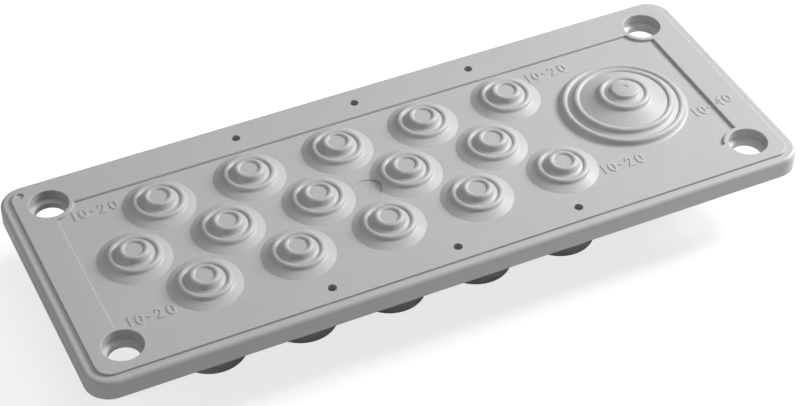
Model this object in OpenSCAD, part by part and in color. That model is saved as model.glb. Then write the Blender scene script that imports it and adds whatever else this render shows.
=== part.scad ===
// Cable entry plate, moulded in one piece: a thick plate with three rows of small stepped
// membranes and one large one, and below each membrane a sleeve that guides its cable.
// The origin is the middle of the four screw holes, on the plate's underside. The sealing rim
// and the sleeves reach below it.
// +X points to the large entry, and +Z points out of the cabinet.

/* [Plate] */
// Spacing of the screw holes along the plate
hole_spacing_x = 220; // [200:1:300]
// Spacing of the screw holes across the plate
hole_spacing_y = 70; // [66:1:120]
// From a screw hole's centre to the plate's end
end_margin = 14.5; // [13:0.5:25]
// From a screw hole's centre to the plate's side
side_margin = 13; // [12:0.5:25]
// Thickness of the plate at the screw holes
plate_t = 6.4; // [5.5:0.1:11]
// Corner radius of the plate
corner_r = 8.5; // [6:0.5:16]

/* [Edge] */
// Rounding between the plate's side wall and its lowered edge
shoulder_r = 1.5; // [0.5:0.1:2.4]
// Width of the lowered edge at the plate's ends
edge_x = 3.7; // [2.6:0.1:6]
// Width of the lowered edge at the plate's sides
edge_y = 2.8; // [2.5:0.1:5]
// Corner radius of the raised top face
top_corner_r = 5.2; // [3:0.1:10]
// Height of the step from the lowered edge up to the top face
step_h = 0.75; // [0.3:0.05:1.5]
// Slope of that step's wall and of the panel's sides, in degrees
bank_slope = 80; // [65:1:86]
// Rounding of the upper edges of those walls
bank_r = 0.3; // [0.1:0.05:0.4]
// Width of the sealing rim under the plate
rim_w = 4; // [2:0.5:6]
// Height of the sealing rim
rim_h = 1.2; // [0.5:0.1:2]

/* [Screw holes] */
// Diameter of the screw holes
hole_d = 10.4; // [4:0.1:11.5]
// Diameter of the recess for the screw's head
head_d = 13; // [12:0.1:15]
// Depth of that recess
head_depth = 3.7; // [1:0.1:4.2]
// How far the seat under the screw's head falls towards the hole
seat_drop = 0.8; // [0:0.1:1.2]
// Rounding of the recess's mouth
mouth_r = 0.3; // [0.2:0.1:1]
// Width of the raised ring left around each mouth
ring_w = 1.2; // [0.4:0.1:1.5]

/* [Panel] */
// Depth of the sunk panel that holds the membranes
panel_depth = 0.95; // [0.2:0.05:1.4]
// From the line through the screw holes to the panel's end
panel_inset_x = 0; // [-0.5:0.1:3]
// From the line through the screw holes to the panel's side
panel_inset_y = 2.1; // [0:0.1:4]

/* [Small membranes] */
// Diameter of a small membrane and its sleeve
small_d = 24.1; // [20:0.1:25]
// Spacing of the small membranes along a row
small_pitch = 31.4; // [28:0.1:40]
// Gap between the outer rows and the panel's side
row_gap = 0.65; // [0.3:0.05:3]
// Gap between the middle row and the panel's end
row_end_gap = 4.55; // [2:0.05:10]
// Diameter of the lower lip
small_lip_d = 15.4; // [15:0.1:16]
// Height of the lower lip over the panel
small_lip_h = 2.6; // [2.4:0.05:2.9]
// Diameter of the upper lip
small_tip_d = 7.9; // [7:0.1:8.4]
// Height of the upper lip over the panel
small_tip_h = 4.45; // [4.1:0.05:5]

/* [Large membrane] */
// Diameter of the large membrane and its sleeve
large_d = 44.5; // [44:0.1:50]
// Gap between the large membrane and the panel's end
large_end_gap = 5.45; // [3:0.05:12]
// Diameter of the lowest lip
large_lip1_d = 39.7; // [39:0.1:40.2]
// Height of the lowest lip over the panel
large_lip1_h = 2.05; // [1.8:0.05:2.3]
// Diameter of the second lip
large_lip2_d = 31.8; // [30:0.1:32.5]
// Height of the second lip over the panel
large_lip2_h = 3.45; // [3.2:0.05:3.7]
// Diameter of the third lip
large_lip3_d = 15.5; // [14:0.1:17]
// Height of the third lip over the panel
large_lip3_h = 6.45; // [6:0.05:6.8]
// Diameter of the tip, at the rounding of its rim
large_tip_d = 8; // [7:0.1:9]
// Height of the tip's rim over the panel
large_tip_h = 7.75; // [7.5:0.05:8.2]
// Rounding of the tip's rim
large_tip_r = 0.65; // [0.4:0.05:0.8]
// Height of the dome over the tip's rim
large_dome_h = 0.45; // [0.2:0.05:0.8]
// Diameter of the small mark in the middle of the dome
mark_d = 2.5; // [1:0.1:4]
// Depth of that mark
mark_depth = 0.2; // [0.05:0.01:0.3]

/* [Lips and walls] */
// Rounding of every lip
lip_r = 1.15; // [0.9:0.05:1.2]
// Slope at which a lip's rounding ends on its inner side, in degrees
lip_fall = 60; // [50:1:65]
// Slope of the rings below the small lips, in degrees
small_ring_slope = 24; // [18:0.5:26]
// Slope of the rings below the large lips, in degrees
large_ring_slope = 20.5; // [17:0.5:22]
// Slope of the wall that carries a lip, in degrees
lip_slope = 62; // [58:1:72]
// Reach of the rounding at the foot of that wall
lip_foot = 0.4; // [0.1:0.05:0.45]
// Thickness of the membranes
membrane_t = 1.2; // [0.6:0.1:1.5]
// Thickness of the sleeves' walls
sleeve_t = 1.6; // [1:0.1:2.4]
// Length of the sleeves below the plate
sleeve_l = 22.3; // [6:0.1:40]

/* [Marks] */
// Diameter of the pin holes along both sides
pin_d = 3; // [1.5:0.1:4]
// Depth of the pin holes
pin_depth = 3.5; // [1:0.1:4]
// Spacing of the pin holes along the plate
pin_pitch = 43.3; // [30:0.1:60]
// From the line through the screw holes out to the pin holes
pin_offset = 4.5; // [3:0.1:6]
// Diameter of the gate mark in the middle row
gate_d = 9; // [5:0.1:12]
// Depth of the gate mark
gate_depth = 0.25; // [0.1:0.05:0.5]
// From the third membrane of the middle row on to the gate mark
gate_along = 17; // [15:0.1:18]
// From the line of the middle row to the gate mark
gate_aside = 1.6; // [0:0.1:3]
// Diameter of the dimple beside the rear corner
dimple_d = 2.8; // [1:0.1:4]
// Depth of that dimple
dimple_depth = 0.6; // [0.1:0.1:1]
// From the rear screw hole to the dimple, along the plate
dimple_along = 7.3; // [5.5:0.1:8]
// From the rear screw hole to the dimple, across the plate
dimple_aside = 7.4; // [7:0.1:9]

/* [Hidden] */
$fn = 96;

// Cutters reach this far past the faces that they open
over = 1;
// Each membrane's flank is carried on this far into the plate
root = 0.3;
// Steps around a rounding
curve_steps = 9;
// Steps around the small rounding at the foot of a lip's wall
foot_steps = 3;

plate_l = hole_spacing_x + 2 * end_margin;
plate_w = hole_spacing_y + 2 * side_margin;
edge_z = plate_t - step_h;
panel_l = hole_spacing_x - 2 * panel_inset_x;
panel_w = hole_spacing_y - 2 * panel_inset_y;
panel_z = plate_t - panel_depth;
// The panel's sides are this wide, seen from above
panel_run = panel_depth / tan(bank_slope);

small_r = small_d / 2;
large_r = large_d / 2;
large_x = panel_l / 2 - large_end_gap - large_r;
middle_x = -panel_l / 2 + row_end_gap + small_r;
outer_x = middle_x + small_pitch / 2;
row_y = panel_w / 2 - row_gap - small_r;
reach = large_r + small_r;
last_x = large_x - sqrt(max(0, reach ^ 2 - row_y ^ 2));
columns = 1 + floor((last_x - outer_x) / small_pitch);
column_list = [0 : columns - 1];
small_places = [
    for (i = column_list) [outer_x + i * small_pitch, row_y],
    for (i = column_list) [middle_x + i * small_pitch, 0],
    for (i = column_list) [outer_x + i * small_pitch, -row_y]
];
hole_places = [for (x = [-1, 1], y = [-1, 1]) [x * hole_spacing_x / 2, y * hole_spacing_y / 2]];
pin_places = [
    for (i = [-1 : 1], side = [-1, 1]) [i * pin_pitch, side * (hole_spacing_y / 2 + pin_offset)]
];
// The gate mark lies between the third and fourth membranes of the middle row
gate_at = [middle_x + 2 * small_pitch + gate_along, -gate_aside];
// The dimple lies outwards of the rear screw hole
dimple_at = [-hole_spacing_x / 2 - dimple_along, hole_spacing_y / 2 + dimple_aside];

// A lip's rounding ends this far inside its crest, and this far below it
lip_in = lip_r * sin(lip_fall);
lip_drop = lip_r * (1 - cos(lip_fall));
// A membrane is a list of steps: foot radius, foot height, crest radius, crest height
small_steps = [
    [small_r, 0, small_lip_d / 2, small_lip_h],
    [small_lip_d / 2 - lip_in, small_lip_h - lip_drop, small_tip_d / 2, small_tip_h]
];
large_steps = [
    [large_r, 0, large_lip1_d / 2, large_lip1_h],
    [large_lip1_d / 2 - lip_in, large_lip1_h - lip_drop, large_lip2_d / 2, large_lip2_h],
    [large_lip2_d / 2 - lip_in, large_lip2_h - lip_drop, large_lip3_d / 2, large_lip3_h]
];
large_tip_foot = [large_lip3_d / 2 - lip_in, large_lip3_h - lip_drop];
// Inside, each membrane's ceiling ends at this radius and height
small_ceiling = [small_tip_d / 2 - lip_in, small_tip_h - lip_drop - membrane_t];
large_ceiling = [large_tip_d / 2 - membrane_t, large_tip_h - membrane_t];

// Points of an arc, from one angle to another
function arc(centre, r, from, to) = [
    for (i = [0 : curve_steps])
        let (a = from + (to - from) * i / curve_steps) centre + r * [cos(a), sin(a)]
];

// Points of a flank from p to q, climbing inwards at one slope and then at another,
// with a rounding where they meet
function flank(p, q, slope_p, slope_q) =
    let (
        run = (q.y - p.y - tan(slope_q) * (p.x - q.x)) / (tan(slope_p) - tan(slope_q)),
        bend = [p.x - run, p.y + run * tan(slope_p)],
        from = bend + lip_foot * [cos(slope_p), -sin(slope_p)],
        to = bend + lip_foot * [-cos(slope_q), sin(slope_q)]
    )
    concat(
        [p],
        [
            for (i = [0 : foot_steps])
                let (t = i / foot_steps) (1 - t) ^ 2 * from + 2 * t * (1 - t) * bend + t ^ 2 * to
        ],
        [q]
    );

// One step of a membrane: its ring, the wall of its lip and the rounded lip
function step_points(s, ring_slope) =
    let (
        centre = [s[2], s[3] - lip_r],
        top = centre + lip_r * [sin(lip_slope), cos(lip_slope)],
        side = flank([s[0], s[1]], top, ring_slope, lip_slope)
    )
    concat(
        [for (i = [(s[1] == 0 ? 0 : 1) : len(side) - 2]) side[i]],
        arc(centre, lip_r, 90 - lip_slope, 90 + lip_fall)
    );

// The large membrane's tip: its ring, its wall, the rounded rim and the dome
function dome_points() =
    let (
        fall = 2 * atan(2 * large_dome_h / large_tip_d),
        centre = [large_tip_d / 2, large_tip_h - large_tip_r],
        top = centre + large_tip_r * [sin(lip_slope), cos(lip_slope)],
        side = flank(large_tip_foot, top, large_ring_slope, lip_slope),
        rim = arc(centre, large_tip_r, 90 - lip_slope, 90 - fall),
        edge = rim[curve_steps],
        dome_r = edge.x / sin(fall)
    )
    concat(
        [for (i = [1 : len(side) - 2]) side[i]],
        [for (i = [0 : curve_steps - 1]) rim[i]],
        arc([0, edge.y - dome_r * cos(fall)], dome_r, 90 - fall, 90)
    );

// Half the section of a membrane's top, from inside the plate up to its middle
function membrane_points(steps, ring_slope, middle) = concat(
    [[0, -root], [steps[0][0] + root / tan(ring_slope), -root]],
    [for (s = steps) each step_points(s, ring_slope)],
    middle
);

// Half the section of the space below a membrane, down through its sleeve
function bore_points(steps, ceiling) =
    let (
        bore_r = steps[0][0] - sleeve_t,
        low = -panel_z - sleeve_l - over
    )
    concat(
        [[0, low], [bore_r, low], [bore_r, -membrane_t]],
        [for (i = [1 : len(steps) - 1]) [steps[i][0], steps[i][1] - membrane_t]],
        ceiling
    );

// A slab with rounded corners whose edge follows a section of [distance inwards, height]
module rounded_slab(l, w, r, section) {
    bottom = section[0].y;
    top = section[len(section) - 1].y;
    for (x = [-1, 1], y = [-1, 1])
        translate([x * (l / 2 - r), y * (w / 2 - r), 0])
            rotate_extrude()
                polygon(concat([[0, bottom]], [for (p = section) [r - p.x, p.y]], [[0, top]]));
    rotate([90, 0, 90])
        translate([0, 0, -l / 2 + r])
            linear_extrude(l - 2 * r)
                ridge(w / 2, section);
    rotate([90, 0, 0])
        translate([0, 0, -w / 2 + r])
            linear_extrude(w - 2 * r)
                ridge(l / 2, section);
}

// The slab's whole cross-section, the same on both sides of its middle
module ridge(half, section) {
    last = len(section) - 1;
    polygon(concat(
        [for (p = section) [half - p.x, p.y]],
        [for (i = [last : -1 : 0]) [section[i].x - half, section[i].y]]
    ));
}

// A wall of a given height that ends at the top face in a rounding, as [distance back, height]
function bank(h) =
    let (
        r = min(bank_r, h / 2),
        back = 90 - bank_slope,
        up = h - r + r * sin(back),
        centre = [up / tan(bank_slope) + r * cos(back), plate_t - r]
    )
    concat([[0, plate_t - h]], arc(centre, r, 180 - back, 90));

// The plate: a body with a rounded shoulder, and the raised top face inside its lowered edge
module plate_body() {
    rounded_slab(plate_l, plate_w, corner_r, concat(
        [[0, -rim_h]],
        [for (p = arc([0, 0], shoulder_r, 0, 90)) [shoulder_r - p.x, edge_z - shoulder_r + p.y]]
    ));
    rounded_slab(plate_l - 2 * edge_x, plate_w - 2 * edge_y, top_corner_r, concat([[0, 0]], bank(step_h)));
}

// The shallow hollow inside the sealing rim
module rim_hollow() {
    rounded_slab(plate_l - 2 * rim_w, plate_w - 2 * rim_w, corner_r - rim_w, [[0, -rim_h - over], [0, 0]]);
}

// The sunk panel, kept clear of the rings around the screw holes
module panel_cut() {
    wall = bank(panel_depth);
    edge = wall[len(wall) - 1];
    sides = concat([for (p = wall) [-p.x, p.y]], [[-edge.x, plate_t + over]]);
    ring_foot = head_d / 2 + mouth_r + ring_w + panel_run;
    difference() {
        intersection() {
            rotate([90, 0, 90])
                linear_extrude(panel_l + 2 * over, center = true)
                    ridge(panel_w / 2 - panel_run, sides);
            rotate([90, 0, 0])
                linear_extrude(panel_w + 2 * over, center = true)
                    ridge(panel_l / 2 - panel_run, sides);
        }
        for (p = hole_places)
            translate([p.x, p.y, 0])
                rotate_extrude()
                    polygon(concat(
                        [[0, panel_z - over], [ring_foot, panel_z - over]],
                        [for (q = sides) [ring_foot + q.x, q.y]],
                        [[0, plate_t + over]]
                    ));
    }
}

// A screw hole with the recess for the head and its rounded mouth
module screw_hole_cut() {
    hole_r = hole_d / 2;
    head_r = head_d / 2;
    seat_z = plate_t - head_depth;
    mouth = arc([head_r + mouth_r, plate_t - mouth_r], mouth_r, 180, 90);
    rotate_extrude()
        polygon(concat(
            [[0, -over], [hole_r, -over], [hole_r, seat_z - seat_drop], [head_r, seat_z]],
            mouth,
            [[head_r + mouth_r, plate_t + over], [0, plate_t + over]]
        ));
}

// A membrane's top and its sleeve, still solid
module entry_body(r, top) {
    translate([0, 0, panel_z])
        rotate_extrude()
            polygon(top);
    translate([0, 0, -sleeve_l])
        cylinder(h = sleeve_l + panel_z - root, r = r);
}

// The space inside a membrane and its sleeve
module entry_bore(section) {
    translate([0, 0, panel_z])
        rotate_extrude()
            polygon(section);
}

// A round sink in the top of the plate
module sink(at, d, floor_z) {
    translate([at.x, at.y, floor_z])
        cylinder(h = plate_t + small_tip_h - floor_z, d = d);
}

// The whole moulding
module entry_plate() {
    small_top = membrane_points(small_steps, small_ring_slope, [[0, small_tip_h - lip_drop]]);
    large_top = membrane_points(large_steps, large_ring_slope, dome_points());
    small_bore = bore_points(small_steps, [small_ceiling, [0, small_ceiling.y]]);
    large_bore = bore_points(large_steps, [
        [large_tip_foot.x, large_tip_foot.y - membrane_t],
        large_ceiling,
        [0, large_ceiling.y]
    ]);
    dome_z = panel_z + large_tip_h + large_dome_h;
    color([0.72, 0.72, 0.72])
        difference() {
            union() {
                difference() {
                    plate_body();
                    rim_hollow();
                    panel_cut();
                }
                for (p = small_places)
                    translate([p.x, p.y, 0])
                        entry_body(small_r, small_top);
                translate([large_x, 0, 0])
                    entry_body(large_r, large_top);
            }
            for (p = small_places)
                translate([p.x, p.y, 0])
                    entry_bore(small_bore);
            translate([large_x, 0, 0])
                entry_bore(large_bore);
            for (p = hole_places)
                translate([p.x, p.y, 0])
                    screw_hole_cut();
            for (p = pin_places)
                sink(p, pin_d, plate_t - pin_depth);
            sink(gate_at, gate_d, panel_z - gate_depth);
            sink(dimple_at, dimple_d, plate_t - dimple_depth);
            translate([large_x, 0, dome_z - mark_depth])
                cylinder(h = over, d = mark_d);
        }
}

entry_plate();
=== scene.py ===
import math
import bpy
from mathutils import Matrix, Vector


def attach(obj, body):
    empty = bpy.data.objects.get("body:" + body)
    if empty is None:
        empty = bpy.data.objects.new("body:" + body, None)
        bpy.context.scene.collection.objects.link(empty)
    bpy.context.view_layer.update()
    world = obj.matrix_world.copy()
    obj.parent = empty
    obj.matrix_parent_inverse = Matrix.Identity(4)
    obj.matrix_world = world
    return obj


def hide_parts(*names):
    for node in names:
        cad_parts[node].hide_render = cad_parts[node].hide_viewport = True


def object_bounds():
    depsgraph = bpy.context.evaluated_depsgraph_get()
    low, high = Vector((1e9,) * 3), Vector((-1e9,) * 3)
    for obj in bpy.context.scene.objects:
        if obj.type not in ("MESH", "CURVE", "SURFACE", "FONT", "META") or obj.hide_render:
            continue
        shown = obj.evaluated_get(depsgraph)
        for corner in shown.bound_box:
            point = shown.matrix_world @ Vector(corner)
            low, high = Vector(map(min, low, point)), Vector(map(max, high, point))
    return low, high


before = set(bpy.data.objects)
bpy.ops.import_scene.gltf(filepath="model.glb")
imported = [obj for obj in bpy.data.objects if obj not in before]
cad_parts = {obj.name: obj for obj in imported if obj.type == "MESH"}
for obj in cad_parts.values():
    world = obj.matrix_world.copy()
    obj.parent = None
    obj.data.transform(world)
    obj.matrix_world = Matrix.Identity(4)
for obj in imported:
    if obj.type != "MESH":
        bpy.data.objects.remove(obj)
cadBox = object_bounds()
mm = 0.001  # lengths in the settings are in mm, angles in degrees
print("frame loaded:", sorted(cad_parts))


# Operators act on what is selected

def pickOnly(*objects):
    bpy.ops.object.select_all(action="DESELECT")
    for item in objects:
        item.select_set(True)
    bpy.context.view_layer.objects.active = objects[0]


def enterEdit(action):
    bpy.ops.object.mode_set(mode="EDIT")
    bpy.ops.mesh.select_all(action=action)


def leaveEdit():
    bpy.ops.object.mode_set(mode="OBJECT")


# Shader maths as plain expressions

class Wire:
    def __init__(self, tree, out=None):
        self.tree = tree
        self.out = out

    def node(self, kind, settings=None, links=None, out=0):
        made = self.tree.nodes.new(kind)
        for name, value in (settings or {}).items():
            setattr(made, name, value)
        for name, value in (links or {}).items():
            if isinstance(value, Wire):
                self.tree.links.new(value.out, made.inputs[name])
            else:
                made.inputs[name].default_value = value
        return Wire(self.tree, made.outputs[out] if len(made.outputs) else None)

    def maths(self, operation, first, second):
        return self.node("ShaderNodeMath", {"operation": operation}, {0: first, 1: second})

    def __add__(self, other):
        return self.maths("ADD", self, other)

    def __radd__(self, other):
        return self.maths("ADD", other, self)

    def __sub__(self, other):
        return self.maths("SUBTRACT", self, other)

    def __rsub__(self, other):
        return self.maths("SUBTRACT", other, self)

    def __mul__(self, other):
        return self.maths("MULTIPLY", self, other)

    def __rmul__(self, other):
        return self.maths("MULTIPLY", other, self)


def newMaterial(name):
    material = bpy.data.materials.new(name)
    material.use_nodes = True
    material.node_tree.nodes.clear()
    return material, Wire(material.node_tree)


# View: the camera stands where the photo was taken from

viewSettings = {
    "lens": 95.02,
    "sensorWidth": 36,
    "nearLimit": 10,
    "place": (-224.22, -469.58, 460.8),
    "target": (-7.68, -13.05, 6.3),
}


def makeCamera():
    s = viewSettings
    place = Vector(s["place"]) * mm
    target = Vector(s["target"]) * mm
    bpy.ops.object.camera_add(location=place)
    camera = bpy.context.object
    camera.name = "photoCamera"
    camera.rotation_mode = "QUATERNION"
    camera.rotation_quaternion = (target - place).to_track_quat("-Z", "Y")
    camera.data.lens = s["lens"]
    camera.data.sensor_width = s["sensorWidth"]
    camera.data.clip_start = s["nearLimit"] * mm
    bpy.context.scene.camera = camera
    bpy.context.scene.view_settings.view_transform = "Standard"
    print("camera set")


# Grey moulded plastic: faint clouds and specks of tone, a fine grain and slow waves

plasticSettings = {
    "grey": 0.42,
    "ior": 1.48,
    "roughness": 0.46,
    "roughnessSwing": 0.04,
    "noiseMiddle": 0.5,
    "cloudSize": 22,
    "cloudDetail": 3.0,
    "cloudSwing": 0.035,
    "speckSize": 0.5,
    "speckDetail": 2.0,
    "speckSwing": 0.03,
    "grainSize": 0.32,
    "grainDetail": 2.0,
    "grainHeight": 0.012,
    "waveSize": 9,
    "waveDetail": 1.0,
    "waveHeight": 0.03,
}


def makePlastic():
    s = plasticSettings
    material, wire = newMaterial("greyMouldedPlastic")
    place = wire.node("ShaderNodeTexCoord", out="Object")

    def noise(name):
        return wire.node("ShaderNodeTexNoise", {"noise_dimensions": "3D"}, {
            "Vector": place, "Scale": 1 / (s[name + "Size"] * mm), "Detail": s[name + "Detail"]})

    def swing(field, share):  # from -share to +share
        return (field - s["noiseMiddle"]) * (2 * share)

    cloud = noise("cloud")
    speck = noise("speck")
    grain = noise("grain")
    wave = noise("wave")
    tone = s["grey"] * (1 + swing(cloud, s["cloudSwing"]) + swing(speck, s["speckSwing"]))
    colour = wire.node("ShaderNodeCombineColor", None, {"Red": tone, "Green": tone, "Blue": tone})
    rough = s["roughness"] + swing(cloud, s["roughnessSwing"]) + swing(grain, s["roughnessSwing"])
    waveBump = wire.node("ShaderNodeBump", None, {
        "Distance": s["waveHeight"] * mm, "Height": wave})
    grainBump = wire.node("ShaderNodeBump", None, {
        "Distance": s["grainHeight"] * mm, "Height": grain, "Normal": waveBump})
    shader = wire.node("ShaderNodeBsdfPrincipled", None, {
        "Base Color": colour, "Roughness": rough, "Normal": grainBump, "IOR": s["ior"]})
    wire.node("ShaderNodeOutputMaterial", None, {"Surface": shader})
    print("plastic made")
    return material


# The moulding: a merged copy of the CAD solid, with smooth curves and crisp flats

mouldingSettings = {
    "node": "entry_plate",
    "mergeWithin": 0.001,
    "smoothBelow": 30,
    "levelNormal": 0.9999,
    "footAbove": 15,
    "flatFaceWeight": 90,
}


def markFeet(mesh):
    s = mouldingSettings
    bpy.context.tool_settings.mesh_select_mode = (False, True, False)  # edges
    enterEdit("DESELECT")
    leaveEdit()
    normals = {}
    for face in mesh.polygons:
        for key in face.edge_keys:
            normals.setdefault(key, []).append(face.normal)
    feet = 0
    for edge in mesh.edges:  # a foot is where a slope stands on a level face
        sides = normals.get(edge.key, [])
        level = [n for n in sides if abs(n.z) > s["levelNormal"]]
        edge.select = (len(sides) == 2 and len(level) == 1
                       and sides[0].angle(sides[1]) > math.radians(s["footAbove"]))
        feet += edge.select
    bpy.ops.object.mode_set(mode="EDIT")
    bpy.ops.mesh.mark_sharp()
    leaveEdit()
    return feet


def makeMoulding(plastic):
    s = mouldingSettings
    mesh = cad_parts[s["node"]].data.copy()
    moulding = bpy.data.objects.new("moulding", mesh)
    bpy.context.scene.collection.objects.link(moulding)
    pickOnly(moulding)
    bpy.ops.mesh.customdata_custom_splitnormals_clear()
    enterEdit("SELECT")
    bpy.ops.mesh.remove_doubles(threshold=s["mergeWithin"] * mm)
    leaveEdit()
    bpy.ops.object.shade_smooth_by_angle(angle=math.radians(s["smoothBelow"]))
    feet = markFeet(mesh)
    weighted = moulding.modifiers.new("flatFacesFirst", "WEIGHTED_NORMAL")
    weighted.mode = "FACE_AREA"
    weighted.weight = s["flatFaceWeight"]
    weighted.keep_sharp = True
    bpy.ops.object.modifier_apply(modifier=weighted.name)
    mesh.materials.clear()
    mesh.materials.append(plastic)
    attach(moulding, "root")
    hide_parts(s["node"])
    print("moulding:", len(mesh.vertices), "points,", len(mesh.polygons), "faces,",
          feet, "foot edges")


# Raised cable sizes beside the entries

numberSettings = {
    "height": 4.6,
    "textPerHeight": 1.4,
    "dashHeight": 0.75,
    "relief": 0.2,
    "sunk": 0.1,
    "edge": 0.12,
    "edgeSteps": 2,
    "thicken": 0.07,
    "mergeWithin": 0.002,
    "smoothBelow": 40,
    "panelLevel": 5.45,
    "frameLevel": 6.4,
    # each sign with its place along the row and its width
    "small": [("I", -7.3, 0.8), ("0", -4.2, 2.9), ("-", -1.0, 1.5),
              ("2", 2.25, 2.7), ("0", 6.05, 3.0)],
    "largeStart": [("I", -6.6, 0.8), ("0", -3.6, 2.9), ("-", -0.9, 1.5)],
    "largeEnd": [("4", 3.2, 2.9), ("0", 6.6, 3.0)],
    "rows": [  # signs, middle x and y, turn, level
        ("small", -97.05, 26.6, 0, "panelLevel"),
        ("small", -97.2, -26.1, 0, "panelLevel"),
        ("small", 67.4, 26.9, 0, "panelLevel"),
        ("small", 67.6, -26.2, 0, "panelLevel"),
        ("largeStart", 109.2, -13.2, 5, "panelLevel"),
        ("largeEnd", 109.2, -13.2, 5, "frameLevel"),
    ],
}


def makeSign(sign, along, width):
    s = numberSettings
    bpy.ops.object.select_all(action="DESELECT")
    bpy.ops.object.text_add(location=(0, 0, 0))
    letter = bpy.context.object
    letter.data.body = sign
    letter.data.size = s["height"] * mm * s["textPerHeight"]
    letter.data.extrude = (s["relief"] + s["sunk"]) * mm / 2 - s["edge"] * mm
    letter.data.bevel_depth = s["edge"] * mm
    letter.data.offset = s["thicken"] * mm
    letter.data.bevel_resolution = s["edgeSteps"]
    bpy.ops.object.convert(target="MESH")
    corners = [Vector(c) for c in letter.bound_box]
    low = Vector(map(min, *corners))
    high = Vector(map(max, *corners))
    size = high - low
    height = s["dashHeight"] if sign == "-" else s["height"]
    letter.data.transform(Matrix.Translation(-(low + high) / 2))
    letter.scale = (width * mm / size.x, height * mm / size.y, 1)
    letter.location = (along * mm, 0, 0)
    bpy.ops.object.transform_apply(location=True, rotation=True, scale=True)
    return letter


def makeRow(name):
    s = numberSettings
    pickOnly(*[makeSign(*sign) for sign in s[name]])
    bpy.ops.object.join()
    enterEdit("SELECT")
    bpy.ops.mesh.remove_doubles(threshold=s["mergeWithin"] * mm)
    bpy.ops.mesh.normals_make_consistent(inside=False)
    leaveEdit()
    bpy.ops.object.shade_smooth_by_angle(angle=math.radians(s["smoothBelow"]))
    return bpy.context.object


def makeNumbers(plastic):
    s = numberSettings
    rows = {}
    made = []
    for name, x, y, turn, level in s["rows"]:
        if name in rows:
            row = rows[name].copy()
            row.data = rows[name].data.copy()
            bpy.context.scene.collection.objects.link(row)
        else:
            row = rows[name] = makeRow(name)
        z = s[level] + (s["relief"] - s["sunk"]) / 2
        row.rotation_euler = (0, 0, math.radians(turn))
        row.location = (x * mm, y * mm, z * mm)
        made.append(row)
    pickOnly(*made)
    bpy.ops.object.transform_apply(location=True, rotation=True, scale=True)
    bpy.ops.object.join()
    numbers = bpy.context.object
    numbers.name = "raisedNumbers"
    numbers.data.materials.clear()
    numbers.data.materials.append(plastic)
    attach(numbers, "root")
    print("numbers:", len(numbers.data.polygons), "faces")


# Floor and studio light

stageSettings = {
    "floorSize": 8000,
    "floorGap": 0.5,
    "floorRoughness": 0.9,
    "floorGrey": 0.3,
    "floorGlow": 0.78,
    "bounceGrey": 0.8,
    "bounceGlow": 0.0,
    "skyStrength": 0.9,
    "lightDistance": 800,
    "lights": [  # name, direction round from +X, height over the floor, width, watts
        ("keyLow", 0, 29, 200, 5.4),
        ("keyHigh", 0, 40, 200, 2.9),
        ("topSoft", 0, 90, 450, 1.95),
        ("fillFront", 315, 38, 450, 0.95),
        ("fillLeft", 185, 12, 450, 0.95),
        ("fillLeftHigh", 180, 40, 450, 0.45),
        ("fillRightLow", 45, 12, 450, 0.45),
        ("fillBack", 90, 40, 450, 0.35),
    ],
}


def makeFloor(name, level, grey, glow):
    s = stageSettings
    bpy.ops.object.select_all(action="DESELECT")
    bpy.ops.mesh.primitive_plane_add(size=s["floorSize"] * mm, location=(0, 0, level))
    floor = bpy.context.object
    floor.name = name
    material, wire = newMaterial(name)
    shader = wire.node("ShaderNodeBsdfPrincipled", None, {
        "Base Color": (grey, grey, grey, 1), "Roughness": s["floorRoughness"],
        "Emission Color": (1, 1, 1, 1), "Emission Strength": glow})
    wire.node("ShaderNodeOutputMaterial", None, {"Surface": shader})
    floor.data.materials.append(material)
    return floor


def makeLight(name, bearing, rise, width, watts):
    turn, lift = math.radians(bearing), math.radians(rise)
    flat = math.cos(lift)
    away = Vector((math.cos(turn) * flat, math.sin(turn) * flat, math.sin(lift)))
    bpy.ops.object.light_add(type="AREA", location=away * (stageSettings["lightDistance"] * mm))
    light = bpy.context.object
    light.name = name
    light.data.size = width * mm
    light.data.energy = watts
    light.rotation_mode = "QUATERNION"
    light.rotation_quaternion = (-away).to_track_quat("-Z", "Y")


def makeStage(floorZ):
    s = stageSettings
    pale = makeFloor("paleFloor", floorZ - s["floorGap"] * mm, s["floorGrey"], s["floorGlow"])
    pale.visible_diffuse = False  # it is only looked at
    pale.visible_glossy = False
    bounce = makeFloor("bounceFloor", floorZ, s["bounceGrey"], s["bounceGlow"])
    bounce.visible_camera = False  # it only throws light back up
    bounce.visible_shadow = False
    for light in s["lights"]:
        makeLight(*light)
    world = bpy.data.worlds.new("studio")
    bpy.context.scene.world = world
    world.use_nodes = True
    sky = world.node_tree.nodes["Background"]
    sky.inputs["Color"].default_value = (1, 1, 1, 1)
    sky.inputs["Strength"].default_value = s["skyStrength"]
    world.cycles_visibility.diffuse = False  # a pale backdrop that gives no light
    world.cycles_visibility.glossy = False
    print("stage set")


makeCamera()
plastic = makePlastic()
makeMoulding(plastic)
makeNumbers(plastic)
makeStage(cadBox[0].z)
